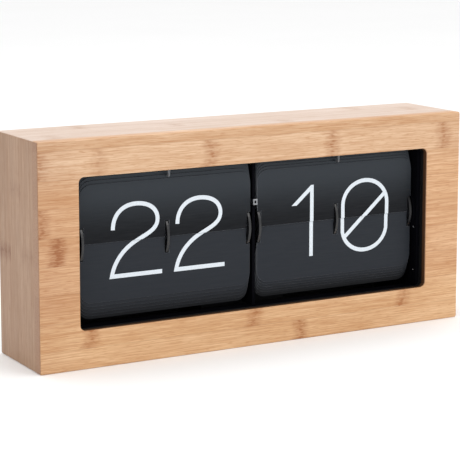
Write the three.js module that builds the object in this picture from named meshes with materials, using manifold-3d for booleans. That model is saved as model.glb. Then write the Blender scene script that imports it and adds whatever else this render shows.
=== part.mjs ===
// Flip number clock in a bamboo box: two leaf drums, their gear train and the battery bay.
// Millimetres, +Z up. The origin is the middle of the footprint, on the surface the clock
// stands on. The face with the numerals looks towards -Y, and +X is to its right.

import * as THREE from 'three';
import { mergeVertices } from 'three/addons/utils/BufferGeometryUtils.js';
import Module from 'manifold-3d';

const wasm = await Module();
wasm.setup();

// ---- Driving dimensions ---------------------------------------------------------------

const BOX = { width: 360, height: 165, depth: 72 };
const WALL = 10;
const FRONT_THICKNESS = 8.5;
const WINDOW = { halfWidth: 148.5, low: 28, high: 138, radius: 4 };

const COVER = { front: 31, thickness: 2, gap: 0.3 };
const BAY = { halfWidth: 36, low: 10.5, high: 48.5, front: -6.5, wall: 1.2 };
const DOOR = { gap: 0.4, thickness: 2, sideInset: 0.3, endInset: 2.5 };
const DOOR_GRIP = { halfWidth: 8, height: 2, belowTop: 6, proud: 1.2, root: 0.5 };
const CELL = { radius: 17.1, left: -31, right: 30.5, nubLength: 2.5, nubRadius: 4.75, gap: 0.2 };
const CONTACT_PLATE = { thickness: 0.6, halfDepth: 8, halfHeight: 9 };
const CONTACT_COIL = { turns: 3, wideRadius: 8, narrowRadius: 4, wireRadius: 0.35, endGap: 0.45 };
const SCREW = { x: 153, low: 20, high: 145, headRadius: 2.8, headHeight: 1.6, shank: 1.1, length: 7 };
const SCREW_HOLE_GAP = { cover: 0.4, flange: 0.1 };

const SPLIT_Z = 87;                 // line on which the upper and lower leaves meet
const LEAF_FRONT_Y = -23;           // middle of the frontmost leaf
const LEAF = { halfWidth: 69.8, length: 43, thickness: 0.5, layer: 0.7, corner: 9, hingeGap: 0.1 };
const LEAF_SLOT = { halfWidth: 1.8, depth: 12, pinHeight: 2, pinLength: 0.5 };
const DISPLAY_X = 72.9;             // middle of each display, left and right of centre
const UPPER_LEAVES = 3;             // standing behind the falling leaf
const LOWER_LEAVES = 5;
const HOUR_LEAVES = 48;             // places for leaves round each drum
const MINUTE_LEAVES = 60;

const HINGE_RADIUS = 20;            // from the drum's axis to the leaf pins
const DRUM_Y = LEAF_FRONT_Y + HINGE_RADIUS;
const DISC = { radius: 22.5, thickness: 2, spacing: 68.5 };
const SHAFT_RADIUS = 1.5;
const SHAFT_GAP = 0.15;             // radial clearance of everything on or around a shaft

const END_PLATE = { inner: 145.5, outer: 148.7, flange: 158.5, bossInner: 144.2, bossRadius: 22 };
const CENTRE_PLATE = { halfWidth: 1.2, front: -23, rear: 22, foot: -8, footTop: 50 };
const FLANGE = { thickness: 2, low: [14, 30], high: [136, 152] };
const TOP_RAIL = { low: 146, high: 152, rear: -21 };
const BOTTOM_RAIL = { low: 20, high: 27.5, rear: -15 };
const REAR_RAIL = { low: 120, high: 126, front: 22, rear: 26 };
const CLIP = { low: 104.5, high: 109, front: -25.6, rear: -19, wall: 0.5, gap: 0.1, nose: 1 };
const CLIP_WINDOW = { halfWidth: 0.8, margin: 1.2 };
const CATCH = { width: 2.5, tipWidth: 1, taper: 9, front: -26.8, arm: 1.6, hook: -22.9 };
const CATCH_HOOK = { clearance: 1.4, chamfer: [0.6, 1], throat: 1.2, slope: 1, rootWiden: 0.8 };

const TOOTH = { height: 0.6, depth: 0.9, rootShare: 0.25, tipShare: 0.12 };
const TRAIN_DROP = 26;              // from the drums' axis down to the countershaft
const MINUTE_PINION_TEETH = 8;
const WHEEL_TEETH = 64;
const COUNTER_PINION_TEETH = 10;
const HOUR_GEAR_TEETH = 60;
const MINUTE_GEAR_TEETH = 48;
const MOTOR_TEETH = 12;
const SET_WHEEL_TEETH = 35;
const MINUTE_TRAIN_MODULE = 2 * TRAIN_DROP / (MINUTE_PINION_TEETH + WHEEL_TEETH);
const HOUR_TRAIN_MODULE = 2 * TRAIN_DROP / (COUNTER_PINION_TEETH + HOUR_GEAR_TEETH);
const MOTOR_MODULE = 0.8;
const INNER_GEARS = [149, 152];     // first gear row outside an end plate
const OUTER_GEARS = [153.5, 156.5]; // second gear row, on the right only
const SHAFT_STUB = 1;               // how far a shaft stands out past its last gear
const GEARBOX_PLATE = { inner: 157, outer: 158.5, front: 4, rear: 30, low: 72, high: 130 };
const GEARBOX_POSTS = [[28, 94], [28, 76], [7, 126]];
const POST_RADIUS = 1.5;
const MOTOR = { radius: 9, right: 169, shaftRadius: 1, shaftDepth: 4, boreDepth: 5 };
const BOARD = { left: 88, right: 124, low: 106, high: 138, thickness: 1.6 };
const SET_WHEEL_RIM_Y = 35.2;       // how far back the thumbwheel's teeth reach
const SET_WHEEL_SLOT = { sideGap: 1, halfHeight: 12 };
const OVERRUN = 1;                  // how far cutting and joined shapes run past a face

// ---- Values worked out from them ------------------------------------------------------

const FRONT_Y = -BOX.depth / 2;
const REAR_Y = BOX.depth / 2;
const FRAME_BACK_Y = FRONT_Y + FRONT_THICKNESS;
const COVER_BACK_Y = COVER.front + COVER.thickness;
const COUNTERSHAFT_Z = SPLIT_Z - TRAIN_DROP;
const MOTOR_DISTANCE = MOTOR_MODULE * (MINUTE_GEAR_TEETH + MOTOR_TEETH) / 2;
const SET_WHEEL_DISTANCE = MOTOR_MODULE * (MINUTE_GEAR_TEETH + SET_WHEEL_TEETH) / 2;
const SET_WHEEL_TIP = MOTOR_MODULE * (SET_WHEEL_TEETH / 2 + TOOTH.height);
const SET_WHEEL_Y = SET_WHEEL_RIM_Y - SET_WHEEL_TIP;
const SET_WHEEL_RISE = Math.sqrt(SET_WHEEL_DISTANCE ** 2 - (SET_WHEEL_Y - DRUM_Y) ** 2);
const SET_WHEEL_Z = SPLIT_Z + SET_WHEEL_RISE;
const MOTOR_Y = DRUM_Y + MOTOR_DISTANCE;
const CATCH_TIP = SPLIT_Z + LEAF.hingeGap + LEAF.length + CATCH_HOOK.clearance;

// ---- Materials ------------------------------------------------------------------------

const finish = (color, roughness, metalness = 0) =>
  new THREE.MeshStandardMaterial({ color, roughness, metalness });
const bamboo = finish(0xd9ae80, 0.5);
const blackPlastic = finish(0x141416, 0.55);
const leafPlastic = finish(0x34373c, 0.6);
const greyPlastic = finish(0x8b8d90, 0.5);
const whitePlastic = finish(0xe4e2da, 0.45);
const steel = finish(0xb4b6ba, 0.3, 1);
const cellJacket = finish(0x7d8187, 0.35, 0.6);
const boardGreen = finish(0x1f5a3a, 0.6);

// ---- Shape helpers --------------------------------------------------------------------

const clock = new THREE.Group();
const AXIS = {
  x: new THREE.Vector3(1, 0, 0),
  y: new THREE.Vector3(0, 1, 0),
  z: new THREE.Vector3(0, 0, 1),
};
// An outline drawn in (y, z), thickened towards +X.
const ALONG_X = new THREE.Matrix4().makeBasis(AXIS.y, AXIS.z, AXIS.x);
// An outline drawn in (x, z), thickened towards -Y.
const ALONG_Y = new THREE.Matrix4().makeBasis(AXIS.x, AXIS.z, AXIS.y.clone().negate());

function add(name, geometry, material, place = [0, 0, 0], turnAboutX = 0) {
  const mesh = new THREE.Mesh(geometry, material);
  mesh.name = name;
  mesh.position.set(...place);
  mesh.rotation.x = turnAboutX;
  clock.add(mesh);
}

function block([x0, x1], [y0, y1], [z0, z1]) {
  const geometry = new THREE.BoxGeometry(x1 - x0, y1 - y0, z1 - z0);
  return geometry.translate((x0 + x1) / 2, (y0 + y1) / 2, (z0 + z1) / 2);
}

function outline(points) {
  return new THREE.Shape(points.map(([u, v]) => new THREE.Vector2(u, v)));
}

function circle(radius, sides, u = 0, v = 0) {
  const points = [];
  for (let side = 0; side < sides; side += 1) {
    const angle = side * 2 * Math.PI / sides;
    points.push([u + radius * Math.cos(angle), v + radius * Math.sin(angle)]);
  }
  return outline(points);
}

function slabAlongX(shape, x0, x1, curveSegments = 12) {
  const options = { depth: x1 - x0, bevelEnabled: false, curveSegments };
  return new THREE.ExtrudeGeometry(shape, options).applyMatrix4(ALONG_X).translate(x0, 0, 0);
}

function slabAlongY(shape, y0, y1, curveSegments = 4) {
  const options = { depth: y1 - y0, bevelEnabled: false, curveSegments };
  return new THREE.ExtrudeGeometry(shape, options).applyMatrix4(ALONG_Y).translate(0, y1, 0);
}

function rodX(radius, x0, x1, y = 0, z = 0, sides = 16) {
  const rod = new THREE.CylinderGeometry(radius, radius, x1 - x0, sides);
  return rod.rotateZ(-Math.PI / 2).translate((x0 + x1) / 2, y, z);
}

function rodY(radius, y0, y1, x, z, sides = 12) {
  const rod = new THREE.CylinderGeometry(radius, radius, y1 - y0, sides);
  return rod.translate(x, (y0 + y1) / 2, z);
}

function roundedRectangle(left, right, low, high, radius) {
  const shape = new THREE.Shape();
  shape.moveTo(left + radius, low);
  shape.absarc(right - radius, low + radius, radius, -Math.PI / 2, 0);
  shape.absarc(right - radius, high - radius, radius, 0, Math.PI / 2);
  shape.absarc(left + radius, high - radius, radius, Math.PI / 2, Math.PI);
  shape.absarc(left + radius, low + radius, radius, Math.PI, Math.PI * 1.5);
  return shape;
}

function solid(geometry) {
  const bare = geometry.clone();
  bare.deleteAttribute('normal');
  bare.deleteAttribute('uv');
  const merged = mergeVertices(bare, 1e-4);
  return new wasm.Manifold(new wasm.Mesh({
    numProp: 3,
    vertProperties: new Float32Array(merged.attributes.position.array),
    triVerts: new Uint32Array(merged.index.array),
  }));
}

function geometryOf(manifold) {
  const mesh = manifold.getMesh();
  const geometry = new THREE.BufferGeometry();
  geometry.setAttribute('position', new THREE.BufferAttribute(mesh.vertProperties, 3));
  geometry.setIndex(new THREE.BufferAttribute(mesh.triVerts, 1));
  return geometry;
}

// Joins the first list of geometries, then takes the second list away.
function carve(kept, removed = []) {
  const whole = kept.map(solid).reduce((sum, piece) => sum.add(piece));
  return geometryOf(removed.map(solid).reduce((rest, tool) => rest.subtract(tool), whole));
}

// ---- Gears ----------------------------------------------------------------------------

// A spur gear outline with straight-sided teeth, the first one centred on angle 0.
function gearOutline(teeth, module, boreRadius) {
  const pitchAngle = 2 * Math.PI / teeth;
  const root = module * (teeth / 2 - TOOTH.depth);
  const tip = module * (teeth / 2 + TOOTH.height);
  const { rootShare, tipShare } = TOOTH;
  const corners = [[root, -rootShare], [tip, -tipShare], [tip, tipShare], [root, rootShare]];
  const points = [];
  for (let tooth = 0; tooth < teeth; tooth += 1) {
    for (const [radius, share] of corners) {
      const angle = (tooth + share) * pitchAngle;
      points.push([radius * Math.cos(angle), radius * Math.sin(angle)]);
    }
  }
  const shape = outline(points);
  if (boreRadius > 0) {
    shape.holes.push(circle(boreRadius, 16));
  }
  return shape;
}

function gear(teeth, module, [x0, x1], boreRadius = SHAFT_RADIUS + SHAFT_GAP) {
  return slabAlongX(gearOutline(teeth, module, boreRadius), x0, x1);
}

// The turn that puts a gear in mesh with a driver turned by driverTurn, when the line from
// the driver's centre to the gear's centre lies at the given angle.
function meshedTurn(driverTeeth, driverTurn, teeth, lineAngle) {
  const driverTooth = (lineAngle - driverTurn) * driverTeeth / (2 * Math.PI);
  const offset = 0.5 - (driverTooth - Math.floor(driverTooth));
  return lineAngle + Math.PI - offset * 2 * Math.PI / teeth;
}

const DOWN = -Math.PI / 2;
const UP = Math.PI / 2;

// ---- Bamboo box -----------------------------------------------------------------------

function buildBox() {
  const half = BOX.width / 2;
  const inner = half - WALL;
  const ceiling = BOX.height - WALL;
  const front = outline([[-half, 0], [half, 0], [half, BOX.height], [-half, BOX.height]]);
  const { halfWidth, low, high, radius } = WINDOW;
  front.holes.push(roundedRectangle(-halfWidth, halfWidth, low, high, radius));
  add('front_frame', slabAlongY(front, FRONT_Y, FRAME_BACK_Y), bamboo);
  const mitred = {
    top_panel: [[-inner, ceiling], [inner, ceiling], [half, BOX.height], [-half, BOX.height]],
    bottom_panel: [[-half, 0], [half, 0], [inner, WALL], [-inner, WALL]],
    left_panel: [[-half, 0], [-inner, WALL], [-inner, ceiling], [-half, BOX.height]],
    right_panel: [[half, 0], [half, BOX.height], [inner, ceiling], [inner, WALL]],
  };
  for (const [name, points] of Object.entries(mitred)) {
    add(name, slabAlongY(outline(points), FRAME_BACK_Y, REAR_Y), bamboo);
  }
}

// ---- Rear cover, battery door and battery ---------------------------------------------

const DOOR_EDGE = {
  halfWidth: BAY.halfWidth - BAY.wall - DOOR.sideInset,
  low: BAY.low + DOOR.endInset,
  high: BAY.high - DOOR.endInset,
};

function screwPlaces() {
  const places = [];
  for (const x of [-SCREW.x, SCREW.x]) {
    places.push([x, SCREW.low], [x, SCREW.high]);
  }
  return places;
}

function buildRearCover() {
  const halfWidth = BOX.width / 2 - WALL - COVER.gap;
  const heights = [WALL + COVER.gap, BOX.height - WALL - COVER.gap];
  const sheet = block([-halfWidth, halfWidth], [COVER.front, COVER_BACK_Y], heights);
  const bay = block([-BAY.halfWidth, BAY.halfWidth], [BAY.front, COVER.front], [BAY.low, BAY.high]);
  const hollow = block(
    [-BAY.halfWidth + BAY.wall, BAY.halfWidth - BAY.wall],
    [BAY.front + BAY.wall, COVER.front],
    [BAY.low + BAY.wall, BAY.high - BAY.wall],
  );
  const through = [COVER.front - OVERRUN, COVER_BACK_Y + OVERRUN];
  const doorway = block(
    [-DOOR_EDGE.halfWidth - DOOR.gap, DOOR_EDGE.halfWidth + DOOR.gap],
    through,
    [DOOR_EDGE.low - DOOR.gap, DOOR_EDGE.high + DOOR.gap],
  );
  const wheelSlot = block(
    [OUTER_GEARS[0] - SET_WHEEL_SLOT.sideGap, OUTER_GEARS[1] + SET_WHEEL_SLOT.sideGap],
    through,
    [SET_WHEEL_Z - SET_WHEEL_SLOT.halfHeight, SET_WHEEL_Z + SET_WHEEL_SLOT.halfHeight],
  );
  const screwHoles = screwPlaces().map(([x, z]) =>
    rodY(SCREW.shank + SCREW_HOLE_GAP.cover, ...through, x, z));
  add('rear_cover', carve([sheet, bay], [hollow, doorway, wheelSlot, ...screwHoles]), blackPlastic);
  screwPlaces().forEach(([x, z], index) => {
    const head = rodY(SCREW.headRadius, COVER_BACK_Y, COVER_BACK_Y + SCREW.headHeight, x, z, 16);
    const shank = rodY(SCREW.shank, COVER_BACK_Y - SCREW.length, COVER_BACK_Y + OVERRUN, x, z, 8);
    add(`cover_screw_${index + 1}`, carve([head, shank]), steel);
  });
}

function buildBatteryDoor() {
  // The lower edge is round about the hinge line, so the door turns in its opening.
  const radius = DOOR.thickness / 2;
  const middle = COVER.front + radius;
  const hingeZ = DOOR_EDGE.low + radius;
  const profile = new THREE.Shape();
  profile.moveTo(COVER.front, DOOR_EDGE.high);
  profile.lineTo(COVER.front, hingeZ);
  profile.absarc(middle, hingeZ, radius, Math.PI, 2 * Math.PI);
  profile.lineTo(COVER_BACK_Y, DOOR_EDGE.high);
  const panel = slabAlongX(profile, -DOOR_EDGE.halfWidth, DOOR_EDGE.halfWidth, 6);
  const gripLow = DOOR_EDGE.high - DOOR_GRIP.belowTop;
  const grip = block(
    [-DOOR_GRIP.halfWidth, DOOR_GRIP.halfWidth],
    [COVER_BACK_Y - DOOR_GRIP.root, COVER_BACK_Y + DOOR_GRIP.proud],
    [gripLow, gripLow + DOOR_GRIP.height],
  );
  add('battery_door', carve([panel, grip]), blackPlastic);
}

function buildBattery() {
  const y = BAY.front + BAY.wall + CELL.radius + CELL.gap;
  const z = (BAY.low + BAY.high) / 2;
  const shoulder = CELL.right - CELL.nubLength;
  const can = rodX(CELL.radius, CELL.left, shoulder, y, z, 32);
  const nub = rodX(CELL.nubRadius, shoulder - OVERRUN, CELL.right, y, z, 16);
  add('battery_cell', carve([can, nub]), cellJacket);

  const { thickness, halfDepth, halfHeight } = CONTACT_PLATE;
  const plateX = [CELL.right, CELL.right + thickness];
  const plate = block(plateX, [y - halfDepth, y + halfDepth], [z - halfHeight, z + halfHeight]);
  add('battery_plate', plate, steel);

  const { turns, wideRadius, narrowRadius, wireRadius, endGap } = CONTACT_COIL;
  const coilX = [-BAY.halfWidth + BAY.wall + endGap, CELL.left - endGap];
  class ContactCoil extends THREE.Curve {
    getPoint(t, target = new THREE.Vector3()) {
      const angle = turns * 2 * Math.PI * t;
      const radius = THREE.MathUtils.lerp(wideRadius, narrowRadius, t);
      const x = THREE.MathUtils.lerp(...coilX, t);
      return target.set(x, y + radius * Math.cos(angle), z + radius * Math.sin(angle));
    }
  }
  const wire = new THREE.Shape().absarc(0, 0, wireRadius, 0, 2 * Math.PI);
  const options = { steps: 36, curveSegments: 3, extrudePath: new ContactCoil() };
  add('battery_spring', new THREE.ExtrudeGeometry(wire, options), steel);
}

// ---- Chassis --------------------------------------------------------------------------

// An end plate walls off one end of the displays. A round boss faces the drum's last disc.
function buildEndPlate(name, side, extraHoles) {
  const span = (a, b) => (side > 0 ? [a, b] : [-b, -a]);
  const plateY = [FRAME_BACK_Y, COVER.front];
  const plate = block(span(END_PLATE.inner, END_PLATE.outer), plateY, [FLANGE.low[0], FLANGE.high[1]]);
  const bossX = span(END_PLATE.bossInner, END_PLATE.inner + OVERRUN);
  const boss = rodX(END_PLATE.bossRadius, ...bossX, DRUM_Y, SPLIT_Z, 48);
  const flangeY = [COVER.front - FLANGE.thickness, COVER.front];
  const flanges = [FLANGE.low, FLANGE.high].map((heights) =>
    block(span(END_PLATE.outer - OVERRUN, END_PLATE.flange), flangeY, heights));
  const boreX = span(END_PLATE.bossInner - OVERRUN, END_PLATE.outer + OVERRUN);
  const shaftHoles = [[DRUM_Y, SPLIT_Z], [DRUM_Y, COUNTERSHAFT_Z], ...extraHoles].map(([y, z]) =>
    rodX(SHAFT_RADIUS + SHAFT_GAP, ...boreX, y, z));
  const holeY = [flangeY[0] - OVERRUN, flangeY[1] + OVERRUN];
  const screwHoles = [SCREW.low, SCREW.high].map((z) =>
    rodY(SCREW.shank + SCREW_HOLE_GAP.flange, ...holeY, side * SCREW.x, z));
  add(name, carve([plate, boss, ...flanges], [...shaftHoles, ...screwHoles]), blackPlastic);
}

function buildChassis() {
  buildEndPlate('left_plate', -1, []);
  buildEndPlate('right_plate', 1, [[SET_WHEEL_Y, SET_WHEEL_Z]]);

  const { halfWidth, front, rear, foot, footTop } = CENTRE_PLATE;
  const centre = outline([
    [front, BOTTOM_RAIL.high], [foot, BOTTOM_RAIL.high], [foot, footTop],
    [rear, footTop], [rear, TOP_RAIL.low], [front, TOP_RAIL.low],
  ]);
  for (const z of [SPLIT_Z, COUNTERSHAFT_Z]) {
    centre.holes.push(circle(SHAFT_RADIUS + SHAFT_GAP, 16, DRUM_Y, z));
  }
  add('centre_plate', slabAlongX(centre, -halfWidth, halfWidth), blackPlastic);

  const railX = [-END_PLATE.inner, END_PLATE.inner];
  const rails = {
    top_rail: [[FRAME_BACK_Y, TOP_RAIL.rear], [TOP_RAIL.low, TOP_RAIL.high]],
    bottom_rail: [[FRAME_BACK_Y, BOTTOM_RAIL.rear], [BOTTOM_RAIL.low, BOTTOM_RAIL.high]],
    rear_rail: [[REAR_RAIL.front, REAR_RAIL.rear], [REAR_RAIL.low, REAR_RAIL.high]],
  };
  for (const [name, [depths, heights]] of Object.entries(rails)) {
    add(name, block(railX, depths, heights), blackPlastic);
  }

  buildClip();
}

// A spring clip pushed over the centre plate's front edge, with a window in its nose.
function buildClip() {
  const inside = CENTRE_PLATE.halfWidth + CLIP.gap;
  const outside = inside + CLIP.wall;
  const clip = block([-outside, outside], [CLIP.front, CLIP.rear], [CLIP.low, CLIP.high]);
  const slot = block(
    [-inside, inside],
    [CLIP.front + CLIP.nose, CLIP.rear + OVERRUN],
    [CLIP.low - OVERRUN, CLIP.high + OVERRUN],
  );
  const window = block(
    [-CLIP_WINDOW.halfWidth, CLIP_WINDOW.halfWidth],
    [CLIP.front - OVERRUN, CLIP.front + CLIP.nose + OVERRUN],
    [CLIP.low + CLIP_WINDOW.margin, CLIP.high - CLIP_WINDOW.margin],
  );
  add('centre_clip', carve([clip], [slot, window]), steel);
}

// A finger hanging from the top rail, whose hook holds back the next leaf's upper edge.
function buildCatch(name, displayX) {
  const { front, arm, hook, width, tipWidth, taper } = CATCH;
  const { chamfer, throat, slope, rootWiden } = CATCH_HOOK;
  const top = TOP_RAIL.low;
  const tip = CATCH_TIP;
  const finger = outline([
    [front, top], [front, tip + chamfer[1]], [front + chamfer[0], tip], [hook, tip],
    [hook, tip + throat], [front + arm, tip + throat + slope], [front + arm + rootWiden, top],
  ]);
  const whole = slabAlongX(finger, displayX - width / 2, displayX + width / 2);
  // Both sides taper towards the tip.
  const wedges = [-1, 1].map((side) => {
    const wedge = outline([
      [displayX + side * tipWidth / 2, tip - OVERRUN],
      [displayX + side * (width / 2 + OVERRUN), tip - OVERRUN],
      [displayX + side * (width / 2 + OVERRUN), tip + taper],
      [displayX + side * width / 2, tip + taper],
    ]);
    return slabAlongY(wedge, front - OVERRUN, hook + OVERRUN);
  });
  add(name, carve([whole], wedges), greyPlastic);
}

// ---- Leaves ---------------------------------------------------------------------------

// One leaf, its hinge edge on v = 0 and its rounded free edge at v = length. The notches
// clear the drum's discs, and the short pins beside them reach towards the discs.
function leafOutline() {
  const { halfWidth, length, corner } = LEAF;
  const { halfWidth: slot, depth, pinHeight, pinLength } = LEAF_SLOT;
  const notch = DISC.spacing - slot;
  const shape = new THREE.Shape();
  shape.moveTo(-halfWidth, depth);
  shape.lineTo(-notch, depth);
  shape.lineTo(-notch, pinHeight);
  shape.lineTo(-notch - pinLength, pinHeight);
  shape.lineTo(-notch - pinLength, 0);
  for (const side of [-1, 1]) {
    const pin = slot - pinLength;
    const corners = [[pin, 0], [pin, pinHeight], [slot, pinHeight], [slot, depth]];
    for (const [u, v] of side < 0 ? corners : corners.reverse()) {
      shape.lineTo(side * u, v);
    }
  }
  shape.lineTo(notch + pinLength, 0);
  shape.lineTo(notch + pinLength, pinHeight);
  shape.lineTo(notch, pinHeight);
  shape.lineTo(notch, depth);
  shape.lineTo(halfWidth, depth);
  shape.absarc(halfWidth - corner, length - corner, corner, 0, Math.PI / 2);
  shape.absarc(-halfWidth + corner, length - corner, corner, Math.PI / 2, Math.PI);
  return shape;
}

// Leaves stand above the split line (side 1) or hang below it (side -1). The hinge edge of
// leaf number `step` lies that many pitches round the drum, and each leaf in a layer behind
// the one before it.
function addLeaf(name, displayX, pitch, side, step, layer) {
  const geometry = new THREE.ExtrudeGeometry(leafOutline(), {
    depth: LEAF.thickness,
    bevelEnabled: false,
    curveSegments: 3,
  });
  geometry.translate(0, 0, -LEAF.thickness / 2).applyMatrix4(ALONG_Y);
  if (side < 0) {
    geometry.rotateY(Math.PI);
  }
  const edgeZ = SPLIT_Z + side * HINGE_RADIUS * Math.sin(step * pitch);
  const hingeZ = edgeZ + side * LEAF.hingeGap;
  add(name, geometry, leafPlastic, [displayX, LEAF_FRONT_Y + layer * LEAF.layer, hingeZ]);
}

function buildLeaves(display, displayX, pitch) {
  addLeaf(`${display}_falling_leaf`, displayX, pitch, 1, 0, 0);
  for (let step = 1; step <= UPPER_LEAVES; step += 1) {
    addLeaf(`${display}_upper_leaf_${step}`, displayX, pitch, 1, step, step);
  }
  for (let step = 0; step < LOWER_LEAVES; step += 1) {
    addLeaf(`${display}_lower_leaf_${step + 1}`, displayX, pitch, -1, step, step + 1);
  }
}

// ---- Drums and gear train -------------------------------------------------------------

function buildDiscs(display, displayX, leaves) {
  const places = { left: -DISC.spacing, centre: 0, right: DISC.spacing };
  const shape = circle(DISC.radius, leaves);
  shape.holes.push(circle(SHAFT_RADIUS + SHAFT_GAP, 16));
  const disc = slabAlongX(shape, -DISC.thickness / 2, DISC.thickness / 2);
  for (const [place, offset] of Object.entries(places)) {
    add(`${display}_disc_${place}`, disc.clone(), blackPlastic, [displayX + offset, DRUM_Y, SPLIT_Z]);
  }
}

function buildDrums() {
  // The two axles meet inside the centre plate with a small gap between their ends.
  const hourLeft = -INNER_GEARS[1] - SHAFT_STUB;
  add('hour_axle', rodX(SHAFT_RADIUS, hourLeft, -SHAFT_GAP), steel, [0, DRUM_Y, SPLIT_Z]);
  add('minute_axle', rodX(SHAFT_RADIUS, SHAFT_GAP, OUTER_GEARS[1]), steel, [0, DRUM_Y, SPLIT_Z]);
  buildDiscs('hour', -DISPLAY_X, HOUR_LEAVES);
  buildDiscs('minute', DISPLAY_X, MINUTE_LEAVES);
}

function buildGearTrain() {
  const drum = [0, DRUM_Y, SPLIT_Z];
  const counter = [0, DRUM_Y, COUNTERSHAFT_Z];
  const leftGears = [-INNER_GEARS[1], -INNER_GEARS[0]];

  add('minute_pinion', gear(MINUTE_PINION_TEETH, MINUTE_TRAIN_MODULE, INNER_GEARS), whitePlastic, drum);
  const wheelTurn = meshedTurn(MINUTE_PINION_TEETH, 0, WHEEL_TEETH, DOWN);
  const wheel = gear(WHEEL_TEETH, MINUTE_TRAIN_MODULE, INNER_GEARS);
  add('countershaft_wheel', wheel, whitePlastic, counter, wheelTurn);
  const counterEnd = INNER_GEARS[1] + SHAFT_STUB;
  add('countershaft', rodX(SHAFT_RADIUS, -counterEnd, counterEnd), steel, counter);
  const counterPinion = gear(COUNTER_PINION_TEETH, HOUR_TRAIN_MODULE, leftGears);
  add('countershaft_pinion', counterPinion, whitePlastic, counter);
  const hourTurn = meshedTurn(COUNTER_PINION_TEETH, 0, HOUR_GEAR_TEETH, UP);
  add('hour_gear', gear(HOUR_GEAR_TEETH, HOUR_TRAIN_MODULE, leftGears), whitePlastic, drum, hourTurn);

  add('minute_gear', gear(MINUTE_GEAR_TEETH, MOTOR_MODULE, OUTER_GEARS), whitePlastic, drum);
  const motorTurn = meshedTurn(MINUTE_GEAR_TEETH, 0, MOTOR_TEETH, 0);
  const rotor = carve([
    gear(MOTOR_TEETH, MOTOR_MODULE, OUTER_GEARS, 0),
    rodX(MOTOR.shaftRadius, OUTER_GEARS[1] - OVERRUN, GEARBOX_PLATE.outer + MOTOR.shaftDepth, 0, 0, 12),
  ]);
  add('motor_pinion', rotor, whitePlastic, [0, MOTOR_Y, SPLIT_Z], motorTurn);

  const lineAngle = Math.atan2(SET_WHEEL_RISE, SET_WHEEL_Y - DRUM_Y);
  const setTurn = meshedTurn(MINUTE_GEAR_TEETH, 0, SET_WHEEL_TEETH, lineAngle);
  const setWheel = carve([
    gear(SET_WHEEL_TEETH, MOTOR_MODULE, OUTER_GEARS, 0),
    rodX(SHAFT_RADIUS, (END_PLATE.inner + END_PLATE.outer) / 2, GEARBOX_PLATE.outer),
  ]);
  add('set_wheel', setWheel, greyPlastic, [0, SET_WHEEL_Y, SET_WHEEL_Z], setTurn);
}

function buildMotor() {
  const { inner, outer, front, rear, low, high } = GEARBOX_PLATE;
  const plate = block([inner, outer], [front, rear], [low, high]);
  const posts = GEARBOX_POSTS.map(([y, z]) =>
    rodX(POST_RADIUS, END_PLATE.outer, inner + OVERRUN, y, z, 10));
  const through = [inner - OVERRUN, outer + OVERRUN];
  const shaftHole = rodX(MOTOR.shaftRadius + SHAFT_GAP, ...through, MOTOR_Y, SPLIT_Z, 12);
  const wheelHole = rodX(SHAFT_RADIUS + SHAFT_GAP, ...through, SET_WHEEL_Y, SET_WHEEL_Z);
  add('gearbox_plate', carve([plate, ...posts], [shaftHole, wheelHole]), blackPlastic);

  const can = rodX(MOTOR.radius, outer, MOTOR.right, MOTOR_Y, SPLIT_Z, 28);
  const boreX = [outer - OVERRUN, outer + MOTOR.boreDepth];
  const bearing = rodX(MOTOR.shaftRadius + SHAFT_GAP, ...boreX, MOTOR_Y, SPLIT_Z, 12);
  add('motor', carve([can], [bearing]), steel);

  const boardY = [REAR_RAIL.rear, REAR_RAIL.rear + BOARD.thickness];
  add('circuit_board', block([BOARD.left, BOARD.right], boardY, [BOARD.low, BOARD.high]), boardGreen);
}

// ---- Assembly -------------------------------------------------------------------------

buildBox();
buildRearCover();
buildBatteryDoor();
buildBattery();
buildChassis();
buildCatch('hour_catch', -DISPLAY_X);
buildCatch('minute_catch', DISPLAY_X);
buildLeaves('hour', -DISPLAY_X, 2 * Math.PI / HOUR_LEAVES);
buildLeaves('minute', DISPLAY_X, 2 * Math.PI / MINUTE_LEAVES);
buildDrums();
buildGearTrain();
buildMotor();

export default clock;
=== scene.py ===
"""Looks of the flip number clock: bamboo box, printed leaves, drum discs, rear cover, stage and camera.

Metres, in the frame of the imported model: +Z up, the numerals face -Y, and the origin is the middle of
the footprint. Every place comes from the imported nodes' boxes or from the constants below.
"""

import math

import bmesh
import bpy
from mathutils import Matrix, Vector


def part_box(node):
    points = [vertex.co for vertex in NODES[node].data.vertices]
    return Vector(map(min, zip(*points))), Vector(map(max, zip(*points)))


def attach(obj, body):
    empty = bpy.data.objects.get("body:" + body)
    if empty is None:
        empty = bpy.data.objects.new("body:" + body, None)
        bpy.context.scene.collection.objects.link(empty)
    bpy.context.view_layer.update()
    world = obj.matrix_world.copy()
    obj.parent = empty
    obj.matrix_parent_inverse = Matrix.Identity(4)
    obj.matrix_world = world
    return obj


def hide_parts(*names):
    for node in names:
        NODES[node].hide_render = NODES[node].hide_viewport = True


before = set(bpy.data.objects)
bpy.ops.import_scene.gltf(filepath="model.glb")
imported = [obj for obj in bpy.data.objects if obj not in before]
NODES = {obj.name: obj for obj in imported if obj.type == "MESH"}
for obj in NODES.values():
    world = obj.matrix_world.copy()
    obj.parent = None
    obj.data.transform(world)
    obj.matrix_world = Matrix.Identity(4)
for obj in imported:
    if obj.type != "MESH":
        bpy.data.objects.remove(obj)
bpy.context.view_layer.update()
MM = 0.001

# ---- Camera, at the photograph's viewing angle ------------------------------------------
CAMERA_PLACE = (-0.6569, -1.1495, 0.3310)
CAMERA_TURN = 29.47                 # degrees from +Y towards +X
CAMERA_DIP = 8.45                   # degrees below the horizon
CAMERA_LENS = 138.6
CAMERA_SENSOR = 36
CAMERA_SHIFT = -0.15

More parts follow.
